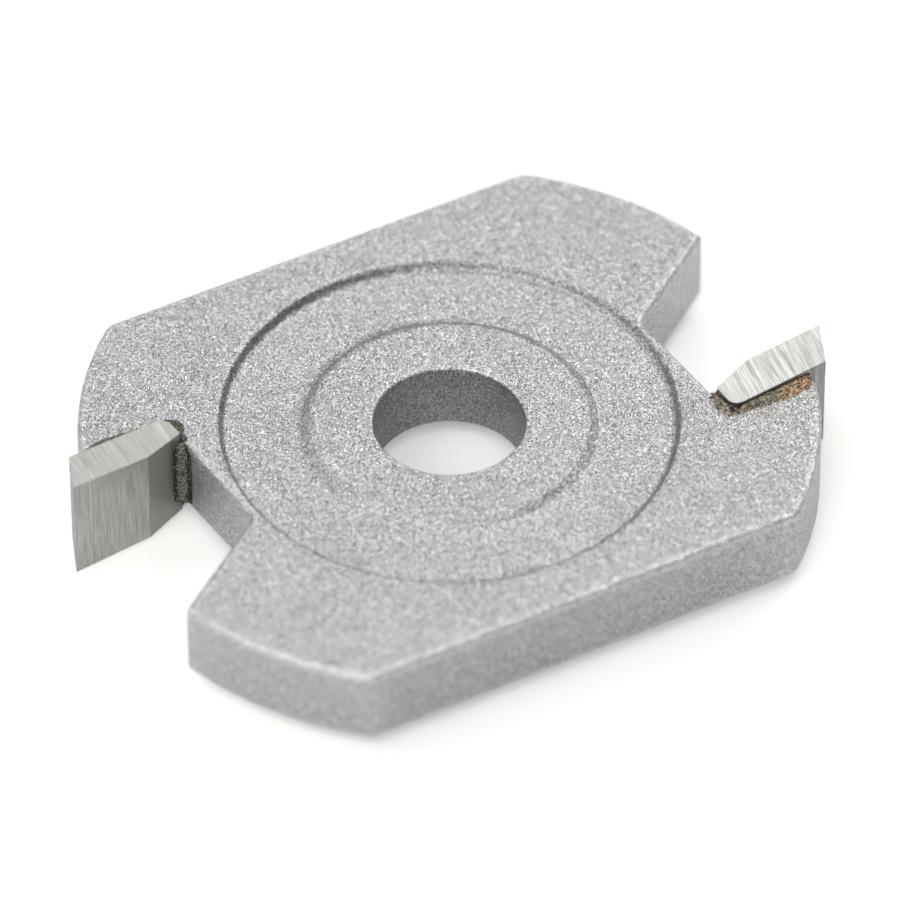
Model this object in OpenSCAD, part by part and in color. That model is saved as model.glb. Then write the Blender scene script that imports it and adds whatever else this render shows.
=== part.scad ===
// Two-tooth carving cutter for a small angle grinder arbor: a flat steel body
// with two brazed carbide tips. The origin is the centre of the bore, half way
// through the thickness. +Z is the spindle axis and X runs along the flats.
// The cutter looks the same after half a turn about Z, and its two faces match.
// Sizes are in millimetres and angles in degrees.

/* [Body] */
// Diameter of the curved rim
body_d = 49; // [47.6:0.2:49.4]
// Width across the two flat sides
flats_w = 37.6; // [36.4:0.2:38.8]
// Thickness between the outer faces
body_t = 5.5; // [5.2:0.1:6]
// Rounding of the blasted outer edges
edge_r = 0.35; // [0.2:0.05:0.45]

/* [Centre] */
// Diameter of the bore that sits on the arbor
bore_d = 10; // [8:0.1:12]
// Diameter of the clamping hub round the bore
hub_d = 18.5; // [16:0.5:21]
// Depth of the hub's clamping face below the outer face
hub_drop = 0.25; // [0.15:0.05:0.3]
// Diameter of the recess round the hub
recess_d = 30.2; // [28:0.2:30.4]
// Depth of the recess below the outer face
recess_depth = 0.6; // [0.5:0.05:0.8]

/* [Gullets] */
// Distance of the gullet root from the bore axis, along X
root_x = 15.6; // [15.5:0.1:16]
// Distance of the gullet root past the bore axis, along Y
root_y = 2; // [1:0.25:3]
// Rounding of the gullet root
root_r = 0.8; // [0.5:0.1:1.2]
// Lean of the gullet's inner wall away from Y
wall_lean = 5.5; // [4.5:0.25:6]
// Slope of the gullet's exit wall away from X
exit_slope = 35.4; // [30:0.2:40]

/* [Carbide tips] */
// Diameter of the circle that the cutting corners run on
cut_d = 51.4; // [51:0.1:52]
// Height of the cutting corners above the centre line
cut_y = 4.9; // [4.7:0.1:5.1]
// Lean of the cutting face away from X
tip_lean = 4.5; // [4:0.25:5]
// Length of a tip along its cutting face
tip_l = 8.8; // [8.6:0.05:8.9]
// Thickness of a tip from cutting face to back
tip_t = 2.9; // [2.6:0.1:3.1]
// Height of a tip at its cutting corner, which is the width of cut
tip_h = 7.74; // [7.5:0.02:8.2]
// Length of the bevel at the inner end of the cutting face
bevel_l = 3.05; // [2.5:0.05:3.5]
// Depth of that bevel
bevel_d = 0.95; // [0.6:0.05:1.1]
// Relief behind the outer cutting edge
end_relief = 26.5; // [20:0.5:30]
// Taper of the side faces towards the bore
side_taper_in = 2.15; // [1.5:0.05:2.5]
// Taper of the side faces towards the back
side_taper_back = 4.4; // [3:0.1:5]
// Rounding of the inner back corner of a tip
tip_corner_r = 0.8; // [0.5:0.1:1]

/* [Braze] */
// Thickness of the braze behind a tip
back_gap = 0.15; // [0.1:0.01:0.2]
// Width of the braze bead along the back of a tip
bead_w = 0.85; // [0.6:0.05:1]
// Height of the braze bead above the body's face
bead_h = 0.5; // [0.3:0.05:0.5]
// Radius of the hollow braze fillet between bevel and gullet wall
fillet_r = 0.7; // [0.3:0.05:0.7]

/* [Hidden] */
$fn = 128;

half_t = body_t / 2;                     // the outer faces lie at +half_t and -half_t
rim_r = body_d / 2;
far = 20;                                // longer than any cut has to reach

// Heights and small rounds of the centre, measured from the middle plane
floor_z = half_t - recess_depth;
hub_z = half_t - hub_drop;
hub_slope_w = 0.6;                       // width of the hub's sloping side, in plan
cove_r = 0.45;                           // cove between the recess floor and its wall
bore_edge = 0.2;                         // rounding of the edge of the bore
lip_edge = 0.15;                         // bevel on the edge of the recess

// Plan of the left gullet: two straight walls that meet in a rounded root
root = [-root_x, -root_y];
wall_dir = [-sin(wall_lean), cos(wall_lean)];
exit_dir = [-cos(exit_slope), -sin(exit_slope)];
root_half_angle = acos(wall_dir * exit_dir) / 2;
root_tangent = root_r / tan(root_half_angle);
root_middle = (wall_dir + exit_dir) / norm(wall_dir + exit_dir);
root_centre = root + root_middle * root_r / sin(root_half_angle);
wall_start = root + wall_dir * root_tangent;
exit_start = root + exit_dir * root_tangent;

// Tip frame: its origin is the cutting corner, +x runs inwards along the
// cutting face and +y runs towards the back of the tip
cut_x = -sqrt(pow(cut_d / 2, 2) - pow(cut_y, 2));
seat_low = 0.85;                         // where the seat's end opens into the gullet
wall_top_y = cut_y + seat_low + tip_l * sin(tip_lean);
seat_overrun = 0.2;                      // how far the gullet wall runs into the seat
wall_len = (wall_top_y + root_y) / cos(wall_lean) + seat_overrun;

// Where the gullet's inner wall passes the inner end of the bevel, tip frame
bevel_end_y = wall_top_y - seat_low + bevel_d;
bevel_wall_x = -root_x - (bevel_end_y + root_y) * tan(wall_lean);
wall_x = (bevel_wall_x - cut_x) * cos(tip_lean) + (bevel_end_y - cut_y) * sin(tip_lean);

// The seat runs past the gullet wall, so its end clears the wall's rounded edge
seat_end = wall_x + edge_r + 0.08;
seat_back = tip_t + back_gap;
seat_r = tip_corner_r + 0.3;

module half_turn() {
    rotate(180) children();
}

module both_faces() {
    children();
    mirror([0, 0, 1]) children();
}

module in_tip_frame() {
    translate([cut_x, cut_y]) rotate(tip_lean) children();
}

// Square with its far corner rounded, from the origin to [w, h]
module one_round_corner(w, h, r) {
    difference() {
        square([w, h]);
        translate([w - r, h - r]) square(r + 1);
    }
    translate([w - r, h - r]) circle(r);
}

// ---- Steel body ----

// Half section of a flat bar or disc that reaches r and has rounded edges
module rim_profile(r) {
    translate([0, -half_t]) square([r - edge_r, body_t]);
    translate([0, edge_r - half_t]) square([r, body_t - 2 * edge_r]);
    for (side = [-1, 1]) {
        translate([r - edge_r, side * (half_t - edge_r)]) circle(edge_r);
    }
}

module flats_bar() {
    rotate([90, 0, 90])
        linear_extrude(height = body_d, center = true)
        for (side = [0, 1]) mirror([side, 0]) rim_profile(flats_w / 2);
}

module blank() {
    intersection() {
        rotate_extrude() rim_profile(rim_r);
        flats_bar();
    }
}

// Half section of what is cut from one face, round the hub
module recess_profile() {
    foot_r = hub_d / 2 + hub_slope_w;
    wall_r = recess_d / 2;
    difference() {
        polygon([
            [0, hub_z],
            [hub_d / 2, hub_z],
            [foot_r, floor_z],
            [wall_r, floor_z],
            [wall_r, half_t - lip_edge],
            [wall_r + lip_edge, half_t],
            [wall_r + lip_edge, half_t + 1],
            [0, half_t + 1]
        ]);
        difference() {
            translate([wall_r - cove_r, floor_z]) square(cove_r);
            translate([wall_r - cove_r, floor_z + cove_r]) circle(cove_r);
        }
    }
}

// Half section of the bore with its rounded edge
module bore_profile() {
    r = bore_d / 2;
    translate([0, -half_t]) square([r, body_t]);
    difference() {
        translate([0, hub_z - bore_edge]) square([r + bore_edge, 2 * bore_edge]);
        translate([r + bore_edge, hub_z - bore_edge]) circle(bore_edge);
    }
}

module centre_cut() {
    both_faces() rotate_extrude() {
        recess_profile();
        bore_profile();
    }
}

// Section of what rounds an edge: +x runs from the wall into the steel, and
// the section starts at x = start, in the open
module edge_profile(start) {
    difference() {
        translate([start, half_t - edge_r]) square([edge_r - start, 2 * edge_r]);
        translate([edge_r, half_t - edge_r]) circle(edge_r);
    }
}

// Rounds the edge of a straight wall from p along dir, with the steel on the
// left of the wall when side is 0 and on its right when side is 1
module wall_edge(p, dir, len, side) {
    translate(p) rotate(atan2(dir[1], dir[0])) mirror([0, side, 0])
        rotate([90, 0, 90]) linear_extrude(height = len) edge_profile(-edge_r);
}

module gullet_plan() {
    wall_top = root + wall_dir * wall_len;
    exit_end = root + exit_dir * far;
    polygon([wall_start, wall_top, wall_top - [far, 0], exit_end - [far, 0], exit_end, exit_start]);
    translate(root_centre) circle(root_r);
}

module gullet() {
    linear_extrude(height = far, center = true) gullet_plan();
    both_faces() {
        wall_edge(wall_start, wall_dir, wall_len - root_tangent, 1);
        wall_edge(exit_start, exit_dir, far, 0);
        translate(root_centre)
            rotate_extrude() translate([root_r, 0]) edge_profile(-root_r);
    }
}

// Plan of the seat that a tip and its braze fill
module seat_plan() {
    translate([-far, seat_low])
        one_round_corner(far + seat_end, seat_back - seat_low, seat_r);
}

module tooth_cut() {
    gullet();
    linear_extrude(height = far, center = true) in_tip_frame() seat_plan();
}

module cutter_body() {
    color([0.66, 0.66, 0.67])
    difference() {
        blank();
        centre_cut();
        tooth_cut();
        half_turn() tooth_cut();
    }
}

// ---- Carbide tips ----

module tip_plan() {
    outer_back = tip_t * tan(end_relief);
    intersection() {
        polygon([
            [0, 0],
            [tip_l - bevel_l, 0],
            [tip_l, bevel_d],
            [tip_l, tip_t],
            [outer_back, tip_t]
        ]);
        one_round_corner(tip_l, tip_t, tip_corner_r);
    }
}

// Everything above the sloping side face of a tip
module above_side_face() {
    translate([0, 0, tip_h / 2])
        rotate([-side_taper_back, side_taper_in, 0])
        translate([-far, -far, 0]) cube([2 * far, 2 * far, far]);
}

module tip() {
    color([0.78, 0.77, 0.74])
    in_tip_frame() difference() {
        linear_extrude(height = tip_h, center = true) tip_plan();
        both_faces() above_side_face();
    }
}

module left_tip() {
    tip();
}

module right_tip() {
    half_turn() tip();
}

// ---- Braze ----

// Hollow fillet that fills the corner between the bevel and the gullet wall
module root_fillet_plan() {
    bevel_slope = atan2(bevel_d, bevel_l);
    corner = [wall_x, bevel_d + (wall_x - tip_l) * tan(bevel_slope)];
    half_angle = (90 - bevel_slope) / 2;
    leg = fillet_r / tan(half_angle);
    middle_angle = bevel_slope + half_angle;
    middle = corner - fillet_r / sin(half_angle) * [cos(middle_angle), sin(middle_angle)];
    difference() {
        polygon([
            corner + [1, 1],
            corner - leg * [cos(bevel_slope), sin(bevel_slope)],
            middle,
            corner - [0, leg]
        ]);
        translate(middle) circle(fillet_r);
    }
}

module braze_plan() {
    difference() {
        union() {
            in_tip_frame() seat_plan();
            intersection() {
                in_tip_frame() root_fillet_plan();
                gullet_plan();
            }
        }
        in_tip_frame() tip_plan();
    }
}

// Section of the bead on one face: x runs out from the tip. Its root reaches
// down into the braze behind the tip.
module bead_profile() {
    root_w = back_gap / 2;
    translate([0, half_t])
        polygon([
            [0, -back_gap],
            [root_w, -back_gap],
            [root_w, 0],
            [bead_w, 0],
            [0, bead_h]
        ]);
}

// Bead along the back of the tip, round its corner and down its inner end
module bead() {
    turn = [tip_l - tip_corner_r, tip_t - tip_corner_r];
    translate([0, tip_t, 0]) rotate([90, 0, 90])
        linear_extrude(height = turn[0]) bead_profile();
    translate(turn)
        rotate_extrude(angle = 90) translate([tip_corner_r, 0]) bead_profile();
    translate([tip_l, turn[1], 0]) rotate([90, 0, 0])
        linear_extrude(height = turn[1] - seat_low) bead_profile();
}

module braze() {
    color([0.45, 0.36, 0.26])
    intersection() {
        union() {
            linear_extrude(height = body_t, center = true) braze_plan();
            in_tip_frame() both_faces() bead();
        }
        cylinder(h = far, r = rim_r - edge_r, center = true);
    }
}

module left_braze() {
    braze();
}

module right_braze() {
    half_turn() braze();
}

cutter_body();
left_tip();
right_tip();
left_braze();
right_braze();
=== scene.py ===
"""Looks, light and camera for the two-tooth carving cutter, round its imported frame.

Mesh code works in millimetres; new_piece() turns the result into metres.
"""
import math

import bmesh
import bpy
import numpy as np
from mathutils import Matrix, Vector, kdtree, noise
from mathutils.geometry import delaunay_2d_cdt


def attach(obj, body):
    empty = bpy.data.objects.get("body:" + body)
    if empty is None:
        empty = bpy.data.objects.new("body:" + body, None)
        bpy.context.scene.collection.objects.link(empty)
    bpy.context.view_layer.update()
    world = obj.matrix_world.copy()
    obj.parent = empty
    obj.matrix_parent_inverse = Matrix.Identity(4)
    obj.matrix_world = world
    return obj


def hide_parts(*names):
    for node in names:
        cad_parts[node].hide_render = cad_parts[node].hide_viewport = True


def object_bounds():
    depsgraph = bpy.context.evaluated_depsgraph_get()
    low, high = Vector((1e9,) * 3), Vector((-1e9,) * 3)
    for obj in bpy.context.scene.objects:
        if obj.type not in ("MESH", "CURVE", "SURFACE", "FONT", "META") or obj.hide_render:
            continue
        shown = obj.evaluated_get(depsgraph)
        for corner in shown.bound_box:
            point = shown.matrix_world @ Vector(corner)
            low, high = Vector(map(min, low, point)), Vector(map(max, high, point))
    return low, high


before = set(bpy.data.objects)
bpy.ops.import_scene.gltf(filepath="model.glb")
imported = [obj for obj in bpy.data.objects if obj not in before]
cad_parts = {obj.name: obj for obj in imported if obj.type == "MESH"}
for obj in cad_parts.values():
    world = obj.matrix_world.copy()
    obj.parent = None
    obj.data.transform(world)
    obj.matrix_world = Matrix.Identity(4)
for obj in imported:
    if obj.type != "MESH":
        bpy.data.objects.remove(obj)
cad_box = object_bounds()

MM = 0.001

# Camera of the photograph, round the origin of the part
CAMERA_AZIMUTH = math.radians(-28.133)
CAMERA_ELEVATION = math.radians(44.147)
CAMERA_ROLL = math.radians(-0.279)
CAMERA_DISTANCE = 0.60345
CAMERA_LENS = 365.54
CAMERA_SHIFT = (0.0006, -0.0022)
CAMERA_STOP = 25

# Soft lights: azimuth from the camera and elevation in degrees, size in metres, power
LIGHTS = {
    "front_soft": (0, 62, 0.5, 3.6),
    "front_left_soft": (-50, 50, 0.5, 2.5),
    "front_low": (-20, 25, 0.4, 2.4),
    "left_fill": (-95, 30, 0.5, 2.8),
    "back_left_fill": (-140, 45, 0.5, 1.0),
    "back_fill": (180, 45, 0.6, 2.25),
    "back_right_soft": (140, 45, 0.5, 3.4),
}
LIGHT_DISTANCE = 1.2
WORLD_STRENGTH = 0.2
BACKDROP_WHITE = 1.0
FLOOR_LIFT = 0.355

# Body shape, in millimetres: widths of the blurs that round the outline's corners and
# the edge, where the softer corners of the flats begin and end, share by which the edge
# wanders, smallest edge, and (height, width) pairs of the unevenness
CORNER_BLUR = 0.1
FLAT_END_BLUR = 0.35
FLAT_END_FULL = 0.6
FLAT_END_GONE = 2.4
EDGE_BLUR = 0.25
EDGE_WANDER = 0.15
SEAT_EDGE = 0.06
BODY_LUMPS = ((0.012, 3.0), (0.004, 0.7))

# Body mesh, in millimetres: gaps between points, rows in a wall, and the rings of points
# on the rounded edge as shares of its size
OUTLINE_STEP = 0.05
POINT_GAP = 0.25
FACE_GRID = 0.36
STEP_GAP = 0.05
WALL_ROWS = 14
EDGE_RINGS = (0.05, 0.19, 0.41, 0.69, 1.0, 1.7)

# Painted light and shade on each kind of steel surface: painted light on the gullet and rim
# walls and a painted highlight on the bore's lip, painted shade on the recess wall, the
# slopes and in the bore; and how far inside the rim and the flats a wall still counts as theirs
PAINTED_LIGHT = {
    "gullet": 0.7,
    "rim": 0.25,
    "recess_wall": -0.9,
    "slope": -0.3,
    "bore_lip": 0.8,
    "bore": -0.75,
}
RIM_BAND = 0.6
FLAT_BAND = 0.5

# Tips and braze, in millimetres; the fillet's spread and the scratches' turn are angles
TIP_EDGE = 0.035
TIP_EDGE_STEP = 0.3
TIP_RAGGED = 0.006
BRAZE_VOXEL = 0.05
BRAZE_LUMPS = ((0.03, 0.5), (0.03, 0.18), (0.012, 0.1))
FILLET_SPREAD = math.radians(72)
SCRATCH_TURN = math.radians(10)

# Strength of the grinding lines and painted light on a tip's top (its top face drawn
# lighter than its sides); copper and light of its braze; width of the bead at the tip's
# inner end; seed of its unevenness
TIP_LOOKS = {
    "left": {
        "streaks": 0.5,
        "top": 0.07,
        "warmth": 0.0,
        "light": 0.3,
        "inner_width": 1.15,
        "seed": 3,
    },
    "right": {
        "streaks": 1.3,
        "top": 0.23,
        "warmth": 1.0,
        "light": 0.52,
        "inner_width": 1.0,
        "seed": 10,
    },
}

# Dark and light grain of each material
STEEL_TONES = ((0.16, 0.158, 0.16, 1), (0.92, 0.915, 0.915, 1))
CARBIDE_TONES = ((0.16, 0.155, 0.14, 1), (0.80, 0.795, 0.765, 1))
COPPER_TONES = ((0.15, 0.08, 0.04, 1), (0.95, 0.60, 0.36, 1))
FILLET_TONES = ((0.05, 0.047, 0.033, 1), (0.30, 0.285, 0.22, 1))
BRAZE_DARK = (0.035, 0.03, 0.02, 1)
BRAZE_BORDER = (0.03, 0.027, 0.022, 1)
BARE_STEEL = (0.66, 0.65, 0.63, 1)
FLOOR_COLOUR = (0.9, 0.9, 0.89, 1)
FLOOR_GLOW = (1, 0.985, 0.95, 1)
FLOOR_REACH = 4.0


# ---- What the frame says ----

def node_points(node):
    """Vertices of a CAD node, in millimetres."""
    return np.array([v.co[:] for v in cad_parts[node].data.vertices]) / MM


def node_triangles(node):
    """Corners of a CAD node's triangles, in millimetres, as (count, 3, 3)."""
    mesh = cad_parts[node].data
    mesh.calc_loop_triangles()
    corners = np.array([t.vertices[:] for t in mesh.loop_triangles])
    return node_points(node)[corners]


def cut_triangle(triangle, height):
    """The two plan points where a triangle crosses a height."""
    above = triangle[:, 2] > height
    points = []
    for a, b in ((0, 1), (1, 2), (2, 0)):
        if above[a] != above[b]:
            t = (height - triangle[a, 2]) / (triangle[b, 2] - triangle[a, 2])
            points.append((triangle[a] + t * (triangle[b] - triangle[a]))[:2])
    return points


def wall_segments(triangles, height=0.01):
    """Plan segments of the walls near the middle plane, and how high each wall goes."""
    low = triangles[:, :, 2].min(axis=1)
    high = triangles[:, :, 2].max(axis=1)
    crossing = triangles[(low < height) & (high > height)]
    ends = np.array([cut_triangle(t, height) for t in crossing])
    return ends, crossing[:, :, 2].max(axis=1)


def join_loops(ends, tops, reach=0.01):
    """Joins loose segments into closed loops of rows (x, y, top of the wall)."""
    free = np.ones(len(ends), bool)
    loops = []
    while free.any():
        first = int(np.argmax(free))
        free[first] = False
        loop = [(*ends[first, 0], tops[first])]
        here = ends[first, 1]
        while free.any():
            gap = np.linalg.norm(ends - here, axis=2)
            gap[~free] = np.inf
            nearest, side = np.unravel_index(np.argmin(gap), gap.shape)
            if gap[nearest, side] > reach:
                break
            free[nearest] = False
            loop.append((*ends[nearest, side], tops[nearest]))
            here = ends[nearest, 1 - side]
        loops.append(np.array(loop))
    return loops


def face_profile(points, reach):
    """Radius and height of the CAD's turned centre on the upper side, from the bore out."""
    upper = points[points[:, 2] > 0]
    radius = np.hypot(upper[:, 0], upper[:, 1])
    rows = np.column_stack([radius, upper[:, 2]])[radius < reach]
    rows = np.unique(rows.round(3), axis=0)
    return rows[np.lexsort((rows[:, 1], rows[:, 0]))]


class TipFrame:
    """Origin at a tip's cutting corner, +x inwards along its face and +y to its back."""

    def __init__(self, node):
        points = node_points(node)
        self.corner = points[np.argmax(points[:, 2])].copy()
        self.turn = 0 if self.corner[0] < 0 else math.pi
        away = points[:, :2] - self.corner[:2]
        away = away @ plan_turn(self.turn)
        away = away[np.hypot(*away.T) > 1]
        self.lean = float(np.arctan2(away[:, 1], away[:, 0]).min())
        local = self.local(points)
        self.length = local[:, 0].max()
        self.thickness = local[:, 1].max()
        inner = local[local[:, 0] > self.length - 0.01]
        self.bevel_depth = inner[:, 1].min()

    def local(self, points):
        """Points given in the part's frame, in the tip's frame."""
        out = np.array(points, float)
        out[:, :2] = (out[:, :2] - self.corner[:2]) @ plan_turn(self.turn + self.lean)
        return out

    def world(self, points):
        """Points given in the tip's frame, in the part's frame."""
        out = np.array(points, float)
        out[:, :2] = out[:, :2] @ plan_turn(self.turn + self.lean).T + self.corner[:2]
        return out


def plan_turn(angle):
    """Matrix that takes row vectors back through an angle about Z."""
    return np.array([
        [math.cos(angle), -math.sin(angle)],
        [math.sin(angle), math.cos(angle)],
    ])


# ---- Small mesh tools ----

def new_piece(name, points, faces, node, material):
    """A shown piece, from millimetres, that stands for a CAD node."""
    mesh = bpy.data.meshes.new(name)
    mesh.from_pydata((np.asarray(points) * MM).tolist(), [], faces)
    mesh.materials.append(material)
    mesh.shade_smooth()
    piece = bpy.data.objects.new(name, mesh)
    bpy.context.scene.collection.objects.link(piece)
    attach(piece, "root")
    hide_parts(node)
    return piece


def cad_bmesh(node):
    """A CAD node's mesh in millimetres, with its doubled vertices merged."""
    bm = bmesh.new()
    bm.from_mesh(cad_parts[node].data)
    bmesh.ops.scale(bm, vec=(1 / MM,) * 3, verts=bm.verts)
    bmesh.ops.remove_doubles(bm, verts=bm.verts, dist=0.001)
    return bm


def take_mesh(bm):
    """Points and faces of a bmesh, which is then freed."""
    bm.verts.index_update()
    points = [v.co[:] for v in bm.verts]
    faces = [[v.index for v in f.verts] for f in bm.faces]
    bm.free()
    return points, faces


def add_marks(piece, marks, domain="POINT"):
    """Stores named values for the material on a piece's vertices or faces."""
    for name, values in marks.items():
        layer = piece.data.attributes.new(name, "FLOAT", domain)
        layer.data.foreach_set("value", np.asarray(values, np.float32))


def rough(point, size, seed=0.0):
    """Smooth noise from -1 to 1 whose lumps are about size wide."""
    return noise.noise(Vector(point) / size + Vector((seed, seed, seed)))


def ramp(value, low, high):
    """0 below low, 1 above high, smooth between."""
    t = np.clip((np.asarray(value, float) - low) / (high - low), 0, 1)
    return t * t * (3 - 2 * t)


# ---- Body ----

def resample(loop, step):
    """A closed loop at equal steps, with the value of each stretch carried along."""
    ends = np.roll(loop, -1, axis=0)
    lengths = np.hypot(*(ends - loop)[:, :2].T)
    start = np.concatenate([[0], np.cumsum(lengths)])
    count = int(round(start[-1] / step))
    along = (np.arange(count) + 0.5) * start[-1] / count
    index = np.searchsorted(start, along, side="right") - 1
    t = (along - start[index]) / lengths[index]
    xy = loop[index, :2] + t[:, None] * (ends[index, :2] - loop[index, :2])
    return xy, loop[index, 2]


def blur(values, sigma):
    """Gaussian blur round a closed loop, sigma in samples."""
    reach = int(4 * sigma) + 1
    shifts = np.arange(-reach, reach + 1)
    weights = np.exp(-0.5 * (shifts / sigma) ** 2)
    total = sum(w * np.roll(values, s, axis=0) for w, s in zip(weights, shifts))
    return total / weights.sum()


def outward(xy):
    """Outward normals of a counter-clockwise closed loop."""
    along = np.roll(xy, -1, axis=0) - np.roll(xy, 1, axis=0)
    normal = np.column_stack([along[:, 1], -along[:, 0]])
    return normal / np.linalg.norm(normal, axis=1)[:, None]


def body_outline(node, half):
    """Dense outline of the body: points, outward normals and the edge rounding at each."""
    ends, tops = wall_segments(node_triangles(node))
    loop = max(join_loops(ends, tops), key=lambda rows: np.hypot(rows[:, 0], rows[:, 1]).max())
    x, y = loop[:, 0], loop[:, 1]
    if np.sum(x * np.roll(y, -1) - np.roll(x, -1) * y) < 0:
        loop = reverse_loop(loop)
    rim = np.hypot(loop[:, 0], loop[:, 1]).max()
    flat = np.abs(loop[:, 1]).max()
    xy, top = resample(loop, OUTLINE_STEP)
    radius = np.hypot(*xy.T)
    on_rim = radius > rim - 0.02
    xy[on_rim] *= (rim / radius[on_rim])[:, None]
    flat_end = np.array((math.sqrt(rim * rim - flat * flat), flat))
    from_flat_end = np.hypot(*(np.abs(xy) - flat_end).T)
    nearness = ramp(from_flat_end, FLAT_END_GONE, FLAT_END_FULL)[:, None]
    crisp = blur(xy, CORNER_BLUR / OUTLINE_STEP)
    soft = blur(xy, FLAT_END_BLUR / OUTLINE_STEP)
    xy = crisp + nearness * (soft - crisp)
    edge = blur(np.maximum(half - top, SEAT_EDGE), EDGE_BLUR / OUTLINE_STEP)
    wander = np.array([rough((*p, 0), 0.9, 7) for p in xy])
    return xy, outward(xy), edge * (1 + EDGE_WANDER * wander)


def reverse_loop(loop):
    """The loop walked the other way, each stretch keeping its value."""
    back = loop[::-1].copy()
    back[:, 2] = np.roll(back[:, 2], -1)
    return back


def thin_out(xy, normals):
    """Indices of outline samples to keep: close together where the outline turns."""
    keep = [0]
    for i in range(1, len(xy)):
        far = np.hypot(*(xy[i] - xy[keep[-1]])) >= POINT_GAP
        bent = normals[i] @ normals[keep[-1]] < math.cos(math.radians(8))
        if far or bent:
            keep.append(i)
    if np.hypot(*(xy[keep[-1]] - xy[keep[0]])) < 0.5 * POINT_GAP:
        keep.pop()
    return np.array(keep)


class BodyFace:
    """Heights of the body's upper face over its plan."""

    def __init__(self, xy, edge, profile, half):
        self.xy = xy
        self.edge = edge
        self.profile = profile
        self.half = half
        self.rim = np.hypot(*xy.T).max()
        self.flat = np.abs(xy[:, 1]).max()
        self.tree = kdtree.KDTree(len(xy))
        for i, p in enumerate(xy):
            self.tree.insert((*p, 0), i)
        self.tree.balance()

    def depth(self, p):
        """Distance of a plan point from the outline, and the edge rounding there."""
        i = self.tree.find((*p, 0))[1]
        best = np.inf
        for j in (i - 1, i):
            a = self.xy[j]
            b = self.xy[(j + 1) % len(self.xy)]
            t = np.clip((p - a) @ (b - a) / ((b - a) @ (b - a)), 0, 1)
            best = min(best, np.hypot(*(p - a - t * (b - a))))
        return best, self.edge[i]

    def height(self, p):
        """Height of the face over a plan point."""
        radius = np.hypot(*p)
        if radius < self.profile[-1, 0]:
            return np.interp(radius, self.profile[:, 0], self.profile[:, 1])
        depth, edge = self.depth(p)
        inset = edge - min(depth, edge)
        return self.half - edge + math.sqrt(edge * edge - inset * inset)


def circle_points(radius, gap):
    """Points round a circle about the origin, about gap apart."""
    count = max(24, int(2 * math.pi * radius / gap))
    angles = np.arange(count) * 2 * math.pi / count
    return radius * np.column_stack([np.cos(angles), np.sin(angles)])


def edge_ring_points(face, keep, normals):
    """Rings of points on the rounded edge, just inside the outline."""
    points = []
    for share in EDGE_RINGS:
        for i in keep:
            inset = share * face.edge[i]
            p = face.xy[i] - inset * normals[i]
            if inset > 0.02 and face.depth(p)[0] > 0.93 * inset:
                points.append(p)
    return points


def centre_ring_points(profile):
    """Rings of points on the hub, its slope, the recess and its wall."""
    radii = {r + gap for r in profile[:, 0] for gap in (-STEP_GAP, 0, STEP_GAP)}
    radii = {r for r in radii if profile[0, 0] < r < profile[-1, 0] + 2 * STEP_GAP}
    radii = thin_radii(sorted(radii), profile)
    wide = np.linspace(profile[0, 0], profile[-1, 0], int(np.ptp(profile[:, 0]) / FACE_GRID))
    radii |= {r for r in wide if np.abs(profile[:, 0] - r).min() > 0.5 * FACE_GRID}
    return [p for r in sorted(radii) for p in circle_points(r, FACE_GRID)]


def thin_radii(radii, profile):
    """Drops a radius that is close to another one, unless the CAD has a step there."""
    kept = set(profile[1:, 0])
    for radius in radii:
        if min(abs(radius - other) for other in kept) > 0.6 * STEP_GAP:
            kept.add(radius)
    return kept


def grid_points(face, rng):
    """Loose triangular grid over the flat of the face."""
    reach = face.rim
    row_gap = FACE_GRID * math.sqrt(3) / 2
    points = []
    for row, y in enumerate(np.arange(-reach, reach, row_gap)):
        for x in np.arange(-reach + (row % 2) * FACE_GRID / 2, reach, FACE_GRID):
            p = np.array((x, y)) + rng.uniform(-0.08, 0.08, 2) * FACE_GRID
            radius = np.hypot(*p)
            if face.profile[-1, 0] + 0.2 < radius < reach:
                points.append(p)
    points = np.array(points)
    points = points[inside(points, face.xy)]
    return [p for p in points if deep_enough(face, p)]


def deep_enough(face, p):
    """True where a plan point is clear of the rounded edge."""
    depth, edge = face.depth(p)
    return depth > 1.7 * edge + 0.12


def inside(points, loop):
    """Which points lie inside a closed loop."""
    x, y = points[:, 0], points[:, 1]
    odd = np.zeros(len(points), bool)
    for a, b in zip(loop, np.roll(loop, -1, axis=0)):
        spans = (a[1] > y) != (b[1] > y)
        if spans.any():
            reach = a[0] + (y - a[1]) * (b[0] - a[0]) / (b[1] - a[1])
            odd ^= spans & (x < reach)
    return odd


def closed_edges(first, count):
    """Edges of a closed ring of vertices."""
    return [(first + i, first + (i + 1) % count) for i in range(count)]


def face_mesh(outline, bore, others):
    """Triangulates the plan between the outline and the bore."""
    points = np.vstack([outline, bore, others])
    edges = closed_edges(0, len(outline)) + closed_edges(len(outline), len(bore))
    result = delaunay_2d_cdt([Vector(p) for p in points], edges, [], 0, 1e-6)
    plan = np.array([p[:] for p in result[0]])
    triangles = np.array(result[2])
    middles = plan[triangles].mean(axis=1)
    keep = inside(middles, outline) & ~inside(middles, bore)
    return plan, triangles[keep]


def wall_faces(upper, lower, rows, first):
    """Quads of a wall between two closed rings, with rows of new vertices from first on."""
    count = len(upper)
    rings = [list(upper)]
    rings += [list(range(first + k * count, first + (k + 1) * count)) for k in range(rows)]
    rings += [list(lower)]
    quads = []
    for high, low in zip(rings, rings[1:]):
        for i in range(count):
            j = (i + 1) % count
            quads.append((high[i], low[i], low[j], high[j]))
    return quads


def wall_points(ring, heights, rows):
    """Points of the rows between a ring's upper and lower edge."""
    shares = 1 - 2 * np.arange(1, rows + 1) / (rows + 1)
    return np.vstack([np.column_stack([ring, heights * s]) for s in shares])


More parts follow.
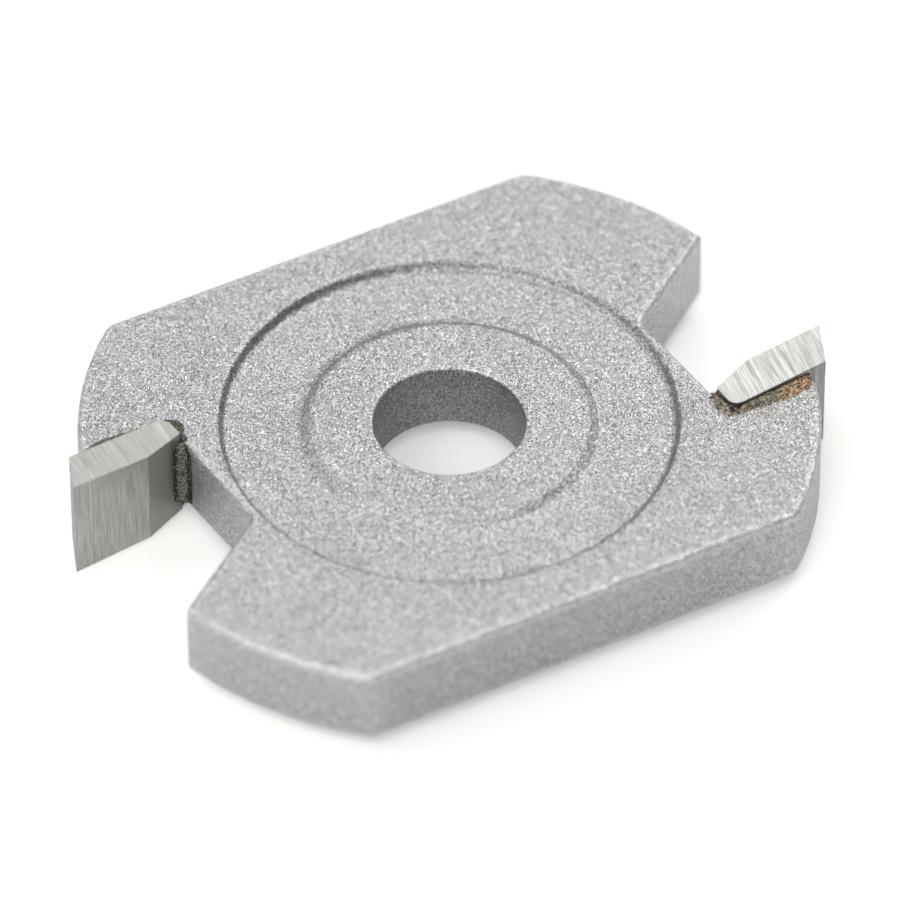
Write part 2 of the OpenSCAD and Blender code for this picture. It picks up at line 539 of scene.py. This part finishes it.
def weather(piece, lumps):
    """Moves each vertex along its normal by noise, in (height, width) pairs, within the CAD box."""
    mesh = piece.data
    normals = [v.normal.copy() for v in mesh.vertices]
    for vertex, normal in zip(mesh.vertices, normals):
        place = vertex.co / MM
        shift = sum(h * rough(place, w, 11 * w) for h, w in lumps)
        moved = vertex.co + normal * shift * MM
        vertex.co = [min(max(c, low), high) for c, low, high in zip(moved, *cad_box)]
    mesh.update()


def make_body(node, material):
    """The blasted steel body, with every edge softened and slightly uneven."""
    rng = np.random.default_rng(5)
    points = node_points(node)
    half = points[:, 2].max()
    xy, normals, edge = body_outline(node, half)
    profile = face_profile(points, recess_reach(points, half))
    face = BodyFace(xy, edge, profile, half)
    keep = thin_out(xy, normals)
    outline = xy[keep]
    bore = circle_points(profile[0, 0], POINT_GAP)
    others = edge_ring_points(face, keep, normals) + centre_ring_points(profile)
    others += grid_points(face, rng)
    plan, triangles = face_mesh(outline, bore, others)
    tops = face_tops(face, plan, keep, len(bore))
    points, faces = closed_body(plan, triangles, tops, outline, len(bore))
    piece = new_piece("steel_body", points, faces, node, material)
    # Painted light and shade, with some wear on the rounded edges, stored for the material
    marks = [painted_light_and_wear(face, vertex) for vertex in piece.data.vertices]
    add_marks(piece, {"painted_light_and_wear": marks})
    weather(piece, BODY_LUMPS)
    return piece


def face_tops(face, plan, keep, bore_count):
    """Height of the upper face at each plan point: the outline, then the bore, then the rest."""
    tops = np.array([face.height(p) for p in plan])
    tops[:len(keep)] = face.half - face.edge[keep]
    tops[len(keep):len(keep) + bore_count] = face.profile[0, 1]
    return tops


def closed_body(plan, triangles, tops, outline, bore_count):
    """Points and faces of the body's two faces and of the walls between them."""
    count = len(plan)
    outer = np.arange(len(outline))
    inner = np.arange(len(outline), len(outline) + bore_count)[::-1]
    points = [np.column_stack([plan, tops]), np.column_stack([plan, -tops])]
    faces = [tuple(map(int, t)) for t in triangles]
    faces += [tuple(int(i) + count for i in t[::-1]) for t in triangles]
    first = 2 * count
    for ring, places in ((outer, outline), (inner, plan[inner])):
        rows = wall_points(places, tops[ring], WALL_ROWS)
        faces += wall_faces(ring.tolist(), (ring + count).tolist(), WALL_ROWS, first)
        points.append(rows)
        first += len(rows)
    return np.vstack(points), faces


def painted_light_and_wear(face, vertex):
    """Mark for the material: above 0 on the rounded edges (partly wear, partly painted highlight)
    and as painted light on the gullet and rim walls; painted shade below 0 and a painted highlight
    on the bore's lip in the centre.
    """
    x, y, z = vertex.co / MM
    radius = math.hypot(x, y)
    steep = abs(vertex.normal.z) < 0.97
    if radius < face.profile[-1, 0]:
        return centre_painted_light(face.profile, radius, abs(z), steep)
    depth, edge = face.depth(np.array((x, y)))
    # Rounded edges drawn lighter: partly wear, partly painted highlight
    if depth < 2 * edge and abs(z) > face.half - 1.6 * edge:
        return float(ramp(depth, 2 * edge, 0.6 * edge))
    # Painted light on the gullet and rim walls
    if steep and radius < face.rim - RIM_BAND and abs(y) < face.flat - FLAT_BAND:
        return PAINTED_LIGHT["gullet"]
    if steep and radius > face.rim - RIM_BAND:
        return PAINTED_LIGHT["rim"]
    return 0.0


def centre_painted_light(profile, radius, height, steep):
    """Painted light mark on the turned centre: painted highlight on the bore's lip, painted shade
    in the bore, on the slopes and on the recess wall.
    """
    if not steep:
        return 0.0
    if radius > profile[0, 0] + 1:
        on_recess_wall = profile[-1, 0] - 0.5 < radius and height > profile[-1, 1] - 0.5
        return PAINTED_LIGHT["recess_wall"] if on_recess_wall else PAINTED_LIGHT["slope"]
    on_lip = height > profile[0, 1] + 0.01
    return PAINTED_LIGHT["bore_lip"] if on_lip else PAINTED_LIGHT["bore"]


def recess_reach(points, half):
    """Radius just outside the recess: the innermost points on the outer face."""
    on_face = points[points[:, 2] > half - 0.001]
    return np.hypot(on_face[:, 0], on_face[:, 1]).min() + 0.003


# ---- Tips ----

def make_tip(name, node, tip, material, seed):
    """A ground carbide tip with small, slightly ragged edges."""
    bm = cad_bmesh(node)
    bmesh.ops.dissolve_limit(
        bm, angle_limit=math.radians(1), verts=bm.verts, edges=bm.edges)
    split_long_edges(bm, TIP_EDGE_STEP)
    sharp = [e for e in bm.edges if e.calc_face_angle(0) > math.radians(15)]
    bmesh.ops.bevel(
        bm, geom=sharp, offset=TIP_EDGE, segments=2, profile=0.5,
        affect="EDGES", clamp_overlap=True)
    for v in bm.verts:
        shift = [TIP_RAGGED * rough(v.co, 0.25, seed + k) for k in (0, 20, 40)]
        v.co += Vector(shift)
    bmesh.ops.recalc_face_normals(bm, faces=bm.faces)
    points, faces = take_mesh(bm)
    piece = new_piece(name, points, faces, node, material)
    piece.data.shade_flat()
    mark_tip_faces(piece, tip)
    return piece


def mark_tip_faces(piece, tip):
    """Marks for the material: bevel is 1 on the bevel, back is 1 on the back."""
    normals = np.array([p.normal[:2] for p in piece.data.polygons])
    normals = normals @ plan_turn(tip.turn + tip.lean)
    marks = {
        "bevel": (normals[:, 0] > 0.15) & (normals[:, 1] < -0.8),
        "back": normals[:, 1] > 0.4,
    }
    add_marks(piece, marks, "FACE")


def split_long_edges(bm, step):
    """Divides every edge into pieces of about step."""
    for edge in list(bm.edges):
        pieces = int(edge.calc_length() / step)
        if pieces > 1:
            bmesh.ops.subdivide_edges(bm, edges=[edge], cuts=pieces - 1)


# ---- Braze ----

def remeshed(points, faces, voxel):
    """Merges overlapping closed parts into one even mesh."""
    mesh = bpy.data.meshes.new("remesh")
    mesh.from_pydata(np.asarray(points).tolist(), [], faces)
    holder = bpy.data.objects.new("remesh", mesh)
    bpy.context.scene.collection.objects.link(holder)
    step = holder.modifiers.new("voxel", "REMESH")
    step.mode = "VOXEL"
    step.voxel_size = voxel
    soften = holder.modifiers.new("soften", "SMOOTH")
    soften.factor = 0.5
    soften.iterations = 3
    graph = bpy.context.evaluated_depsgraph_get()
    made = holder.evaluated_get(graph).to_mesh()
    new_points = np.array([v.co[:] for v in made.vertices])
    new_faces = [tuple(p.vertices) for p in made.polygons]
    bpy.data.objects.remove(holder)
    return new_points, new_faces


def make_braze(side, tip, material, look, half):
    """The braze: joint, bead on both faces and the hollow fillet in the gullet."""
    node = f"{side}_braze"
    points, faces = take_mesh(cad_bmesh(node))
    points, faces = remeshed(points, faces, BRAZE_VOXEL)
    local = tip.local(points)
    local = shape_fillet(local, tip, half)
    local = shape_bead(local, tip, half, look["inner_width"], look["seed"])
    piece = new_piece(f"braze_bead_{side}", tip.world(local), faces, node, material)
    weather(piece, BRAZE_LUMPS)
    mark_braze(piece, tip, half)
    return piece


def gullet_corner(tip):
    """Where the bevel's plane meets the gullet wall, in the tip's frame."""
    return np.array((tip.length + 0.1, tip.bevel_depth + 0.03))


def shape_fillet(local, tip, half):
    """Draws the gullet fillet back to its corner near both faces, as an arch."""
    out = local.copy()
    corner = gullet_corner(tip)
    share = ramp(out[:, 1], corner[1] + 0.05, corner[1] - 0.2)
    share *= ramp(out[:, 0], corner[0] + 0.3, corner[0])
    shrink = 1 + share * (0.2 - 0.7 * ramp(np.abs(out[:, 2]), half - 0.6, half - 0.02))
    out[:, :2] = corner + (out[:, :2] - corner) * shrink[:, None]
    return out


def bead_width(p, tip, inner_width, seed):
    """Share of the CAD bead's width at a point: swells along the back, thin at both ends."""
    along_back = 0.55 + 0.55 * ramp(p[0], tip.length - 0.4, tip.length / 2)
    along_back *= 0.12 + 0.88 * ramp(p[0], 1.9, 3.5)
    up_the_end = ramp(p[1], tip.bevel_depth - 0.2, tip.thickness - 0.7)
    along_end = 0.3 + (inner_width - 0.3) * up_the_end
    wander = 0.16 * rough((p[0], p[1], 0), 1.3, seed) + 0.16 * rough(p, 0.45, seed + 5)
    return along_back * (1 + wander), along_end * (1 + wander)


def shape_bead(local, tip, half, inner_width, seed):
    """Makes the width of the bead change along the tip."""
    out = local.copy()
    proud = np.abs(out[:, 2]) > half - 0.02
    for i in np.nonzero(proud)[0]:
        p = out[i]
        along_back, along_end = bead_width(p, tip, inner_width, seed)
        back = p[1] - tip.thickness
        inner = p[0] - tip.length
        if back > 0:
            p[1] = tip.thickness + back * along_back
        if inner > 0:
            p[0] = tip.length + inner * along_end
    return out


def mark_braze(piece, tip, half):
    """Marks for the material.

    copper runs 0 to 1 towards the outer end, front is 1 on the gullet fillet, thin is 1
    where the bead runs out on the steel, and border is 1 right beside the tip and
    where the fillet runs out, away from both faces.
    """
    local = tip.local(np.array([v.co[:] for v in piece.data.vertices]) / MM)
    x, y = local[:, 0], local[:, 1]
    front = ramp(y, tip.bevel_depth + 0.2, tip.bevel_depth - 0.1)
    offset = local[:, :2] - gullet_corner(tip)
    from_wall = np.abs(np.arctan2(-offset[:, 0], -offset[:, 1]))
    share = from_wall / FILLET_SPREAD
    off_the_faces = ramp(half - np.abs(local[:, 2]), 0.05, 0.35)
    runs_out = ramp(np.abs(2 * share - 1), 0.5, 0.95) * front * off_the_faces
    from_tip = np.maximum(y - tip.thickness, x - tip.length)
    reach = 0.1 + 0.15 * ramp(x, tip.length - 1.0, tip.length)
    beside = ramp(from_tip / reach, 1.0, 0.3) * (1 - front)
    add_marks(piece, {
        "copper": ramp(x, 6.4, 3.8),
        "front": front,
        "thin": ramp(np.abs(local[:, 2]) - half, 0.07, 0.0) * (1 - front),
        "border": np.maximum(runs_out, beside),
    })


# ---- Materials ----

class Shader:
    """Short way to wire a procedural material."""

    def __init__(self, name):
        self.material = bpy.data.materials.new(name)
        self.material.use_nodes = True
        self.tree = self.material.node_tree
        self.tree.nodes.clear()
        output = self.tree.nodes.new("ShaderNodeOutputMaterial")
        self.surface = self.tree.nodes.new("ShaderNodeBsdfPrincipled")
        self.link(self.surface.outputs["BSDF"], output.inputs["Surface"])

    def link(self, source, target):
        self.tree.links.new(source, target)

    def feed(self, socket, value):
        """Links an output or sets a plain value."""
        if isinstance(value, bpy.types.NodeSocket):
            self.link(value, socket)
        else:
            socket.default_value = value

    def place(self, stretch=(1, 1, 1), turn=0.0):
        """Object coordinates in millimetres, turned about Z and stretched."""
        source = self.tree.nodes.new("ShaderNodeTexCoord")
        turned = self.tree.nodes.new("ShaderNodeMapping")
        turned.inputs["Rotation"].default_value = (0, 0, turn)
        self.link(source.outputs["Object"], turned.inputs["Vector"])
        scaled = self.tree.nodes.new("ShaderNodeMapping")
        scaled.inputs["Scale"].default_value = [s / MM for s in stretch]
        self.link(turned.outputs["Vector"], scaled.inputs["Vector"])
        return scaled.outputs["Vector"]

    def noise(self, vector, size, detail=2.0, roughness=0.5):
        """Noise from 0 to 1 whose lumps are about size millimetres."""
        node = self.tree.nodes.new("ShaderNodeTexNoise")
        self.link(vector, node.inputs["Vector"])
        node.inputs["Scale"].default_value = 1 / size
        node.inputs["Detail"].default_value = detail
        node.inputs["Roughness"].default_value = roughness
        return node.outputs["Fac"]

    def cells(self, vector, size):
        """Random colour for each cell of about size millimetres."""
        node = self.tree.nodes.new("ShaderNodeTexVoronoi")
        self.link(vector, node.inputs["Vector"])
        node.inputs["Scale"].default_value = 1 / size
        return node.outputs["Color"]

    def math(self, operation, a, b=0.0, clamp=False):
        node = self.tree.nodes.new("ShaderNodeMath")
        node.operation = operation
        node.use_clamp = clamp
        self.feed(node.inputs[0], a)
        self.feed(node.inputs[1], b)
        return node.outputs[0]

    def vector(self, operation, a, b=(0, 0, 0), scale=1.0):
        node = self.tree.nodes.new("ShaderNodeVectorMath")
        node.operation = operation
        self.feed(node.inputs[0], a)
        if operation == "SCALE":
            self.feed(node.inputs["Scale"], scale)
        elif operation != "NORMALIZE":
            self.feed(node.inputs[1], b)
        return node.outputs[0]

    def span(self, value, low, high, out_low=0.0, out_high=1.0):
        """Maps low..high of a value to out_low..out_high, clamped."""
        node = self.tree.nodes.new("ShaderNodeMapRange")
        self.feed(node.inputs["Value"], value)
        node.inputs["From Min"].default_value = low
        node.inputs["From Max"].default_value = high
        node.inputs["To Min"].default_value = out_low
        node.inputs["To Max"].default_value = out_high
        return node.outputs["Result"]

    def blend(self, share, a, b):
        """Colour mix."""
        node = self.tree.nodes.new("ShaderNodeMix")
        node.data_type = "RGBA"
        self.feed(node.inputs[0], share)
        self.feed(node.inputs[6], a)
        self.feed(node.inputs[7], b)
        return node.outputs[2]

    def part(self, vector, axis):
        """One part of a vector: X, Y or Z."""
        node = self.tree.nodes.new("ShaderNodeSeparateXYZ")
        self.link(vector, node.inputs[0])
        return node.outputs[axis]

    def attribute(self, name):
        node = self.tree.nodes.new("ShaderNodeAttribute")
        node.attribute_name = name
        return node.outputs["Fac"]

    def normal(self):
        return self.tree.nodes.new("ShaderNodeNewGeometry").outputs["Normal"]

    def bump(self, height, depth, normal=None):
        """Bump whose height of 0 to 1 stands for depth millimetres."""
        node = self.tree.nodes.new("ShaderNodeBump")
        node.inputs["Distance"].default_value = depth * MM
        self.link(height, node.inputs["Height"])
        if normal is not None:
            self.link(normal, node.inputs["Normal"])
        return node.outputs["Normal"]

    def set(self, inputs):
        """Feeds sockets of the surface, by name."""
        for name, value in inputs.items():
            self.feed(self.surface.inputs[name], value)


def grains(shader, colour, tilt):
    """Normal tipped at random in each grain, which makes a blasted surface sparkle."""
    centred = shader.vector("SUBTRACT", colour, (0.5, 0.5, 0.5))
    tipped = shader.vector("SCALE", centred, scale=tilt)
    summed = shader.vector("ADD", shader.normal(), tipped)
    return shader.vector("NORMALIZE", summed)


def steel_material():
    """Grit-blasted steel: fine bright and dark grains, faint cloudy patches, and the body's painted
    light and shade.
    """
    s = Shader("blasted_steel_look")
    place = s.place()
    tone = s.part(s.cells(place, 0.06), "X")
    facets = s.cells(place, 0.055)
    pits = s.noise(place, 0.12, 3, 0.6)
    patches = s.noise(place, 4.0, 3)
    # Painted light and shade: lighter rounded edges (partly wear, partly painted highlight), gullet
    # and rim walls and bore lip; darker recess wall, slopes and bore
    edge_wear_and_painted_light = s.math("MULTIPLY", s.attribute("painted_light_and_wear"), 0.19)
    light = s.math("ADD", tone, s.span(pits, 0.3, 0.7, -0.02, 0.02))
    light = s.math("ADD", light, s.span(patches, 0.3, 0.7, -0.02, 0.02))
    light = s.math("ADD", light, edge_wear_and_painted_light, clamp=True)
    normal = s.bump(pits, 0.004, grains(s, facets, 0.65))
    s.set({
        "Base Color": s.blend(light, *STEEL_TONES),
        "Metallic": 1.0,
        "Roughness": s.span(s.part(facets, "Z"), 0, 1, 0.28, 0.52),
        "Normal": normal,
    })
    return s.material


def carbide_material(name, lean, look):
    """Ground carbide: scratches across the tip's length, of a given strength on its top, and
    painted light on its top face.
    """
    s = Shader(name)
    lines = s.place(stretch=(1, 0.02, 0.02), turn=SCRATCH_TURN - lean)
    fine = s.span(s.noise(lines, 0.065, 3, 0.7), 0.36, 0.64, -0.3, 0.3)
    bands = s.span(s.noise(lines, 0.6, 3, 0.6), 0.3, 0.7, -0.05, 0.05)
    mottled = s.noise(s.place(), 0.12, 4, 0.7)
    top = s.span(s.math("ABSOLUTE", s.part(s.normal(), "Z")), 0.6, 0.9)
    bright = s.span(s.noise(lines, 0.2, 1), 0.61, 0.66, 0, 0.4)
    bright = s.math("MULTIPLY", bright, s.span(top, 0, 1, 0.35, 1.0))
    scratch = s.math("ADD", s.math("ADD", fine, bands), bright)
    bevel = s.attribute("bevel")
    strength = s.span(top, 0, 1, 0.9, look["streaks"])
    strength = s.math("SUBTRACT", strength, s.math("MULTIPLY", bevel, 0.75))
    mottled = s.span(mottled, 0.3, 0.7, -0.08, 0.08)
    tone = s.math("ADD", s.math("MULTIPLY", scratch, strength), mottled)
    tone = s.math("SUBTRACT", tone, s.math("MULTIPLY", bevel, 0.2))
    tone = s.math("SUBTRACT", tone, s.math("MULTIPLY", s.attribute("back"), 0.26))
    # Painted light: the top face is drawn lighter than the sides, by an amount set for each tip
    light = s.math("ADD", tone, s.span(top, 0, 1, 0.57, 0.5 + look["top"]), clamp=True)
    s.set({
        "Base Color": s.blend(light, *CARBIDE_TONES),
        "Metallic": 1.0,
        "Roughness": s.span(top, 0, 1, 0.38, 0.52),
        "Normal": s.bump(scratch, 0.002),
    })
    return s.material


def braze_material(name, warmth, light):
    """Braze: olive-brown grains, copper at the outer end, dark at its borders, bare specks."""
    s = Shader(name)
    place = s.place()
    random = s.cells(place, 0.085)
    grit = s.span(s.part(random, "X"), 0.25, 0.75)
    clouds = s.noise(place, 0.6, 3)
    patchy = s.span(clouds, 0.35, 0.6, 0.15 * warmth, warmth)
    warm = s.math("MULTIPLY", s.attribute("copper"), patchy)
    dull = s.blend(grit, BRAZE_DARK, (light, 0.9 * light, 0.68 * light, 1))
    colour = s.blend(warm, dull, s.blend(grit, *COPPER_TONES))
    colour = s.blend(s.attribute("front"), colour, s.blend(grit, *FILLET_TONES))
    colour = s.blend(s.attribute("border"), colour, BRAZE_BORDER)
    bare = s.math("ADD", s.part(random, "Y"), s.math("MULTIPLY", s.attribute("thin"), 0.5))
    colour = s.blend(s.span(bare, 0.92, 0.98, 0, 0.8), colour, BARE_STEEL)
    normal = s.bump(s.noise(place, 0.14, 3), 0.03, grains(s, random, 0.8))
    s.set({"Base Color": colour, "Metallic": 0.7, "Roughness": 0.55, "Normal": normal})
    return s.material


def floor_material():
    """Plain matte white. What the camera sees is lifted, so shadows on it stay faint."""
    s = Shader("studio_floor")
    seen = s.tree.nodes.new("ShaderNodeLightPath").outputs["Is Camera Ray"]
    s.set({
        "Base Color": FLOOR_COLOUR,
        "Roughness": 0.9,
        "Emission Color": FLOOR_GLOW,
        "Emission Strength": s.math("MULTIPLY", seen, FLOOR_LIFT),
    })
    return s.material


# ---- Studio ----

def make_floor(height):
    """A large plain floor that the tips' corners stand on."""
    mesh = bpy.data.meshes.new("floor")
    corners = [
        (x * FLOOR_REACH, y * FLOOR_REACH, height)
        for x, y in ((-1, -1), (1, -1), (1, 1), (-1, 1))
    ]
    mesh.from_pydata(corners, [], [(0, 1, 2, 3)])
    mesh.materials.append(floor_material())
    floor = bpy.data.objects.new("floor", mesh)
    bpy.context.scene.collection.objects.link(floor)


def spherical(azimuth, elevation):
    return Vector((
        math.sin(azimuth) * math.cos(elevation),
        -math.cos(azimuth) * math.cos(elevation),
        math.sin(elevation),
    ))


def make_light(name, azimuth, elevation, size, power):
    """A square soft light that faces the part."""
    lamp = bpy.data.lights.new(name, "AREA")
    lamp.shape = "SQUARE"
    lamp.size = size
    lamp.energy = power
    light = bpy.data.objects.new(name, lamp)
    direction = spherical(CAMERA_AZIMUTH + math.radians(azimuth), math.radians(elevation))
    light.location = direction * LIGHT_DISTANCE
    light.rotation_euler = direction.to_track_quat("Z", "Y").to_euler()
    bpy.context.scene.collection.objects.link(light)


def make_world():
    """Even dim surroundings, which the camera sees as white."""
    world = bpy.data.worlds.new("studio")
    world.use_nodes = True
    tree = world.node_tree
    background = tree.nodes["Background"]
    background.inputs["Color"].default_value = (1, 1, 1, 1)
    path = tree.nodes.new("ShaderNodeLightPath")
    strength = tree.nodes.new("ShaderNodeMapRange")
    strength.inputs["To Min"].default_value = WORLD_STRENGTH
    strength.inputs["To Max"].default_value = BACKDROP_WHITE
    tree.links.new(path.outputs["Is Camera Ray"], strength.inputs["Value"])
    tree.links.new(strength.outputs["Result"], background.inputs["Strength"])
    bpy.context.scene.world = world


def make_camera():
    """The photograph's camera, focused on the middle of the body."""
    data = bpy.data.cameras.new("camera")
    data.lens = CAMERA_LENS
    data.shift_x, data.shift_y = CAMERA_SHIFT
    data.clip_start = 0.01
    data.clip_end = 20
    data.dof.use_dof = True
    data.dof.focus_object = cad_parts["cutter_body"]
    data.dof.aperture_fstop = CAMERA_STOP
    camera = bpy.data.objects.new("camera", data)
    bpy.context.scene.collection.objects.link(camera)
    back = spherical(CAMERA_AZIMUTH, CAMERA_ELEVATION)
    right = Vector((0, 0, 1)).cross(back).normalized()
    up = back.cross(right)
    axes = Matrix((right, up, back)).transposed() @ Matrix.Rotation(CAMERA_ROLL, 3, "Z")
    camera.matrix_world = Matrix.Translation(back * CAMERA_DISTANCE) @ axes.to_4x4()
    bpy.context.scene.camera = camera


def make_studio():
    """Floor, surroundings, lights and camera."""
    make_floor(cad_box[0].z)
    make_world()
    for name, settings in LIGHTS.items():
        make_light(name, *settings)
    make_camera()
    bpy.context.scene.view_settings.view_transform = "Standard"


tips = {side: TipFrame(f"{side}_tip") for side in ("left", "right")}
half_thickness = node_points("cutter_body")[:, 2].max()
make_body("cutter_body", steel_material())
for side in ("left", "right"):
    look = TIP_LOOKS[side]
    carbide = carbide_material(f"carbide_{side}_look", tips[side].lean, look)
    braze = braze_material(f"braze_{side}_look", look["warmth"], look["light"])
    make_tip(f"carbide_{side}", f"{side}_tip", tips[side], carbide, look["seed"])
    make_braze(side, tips[side], braze, look, half_thickness)
make_studio()
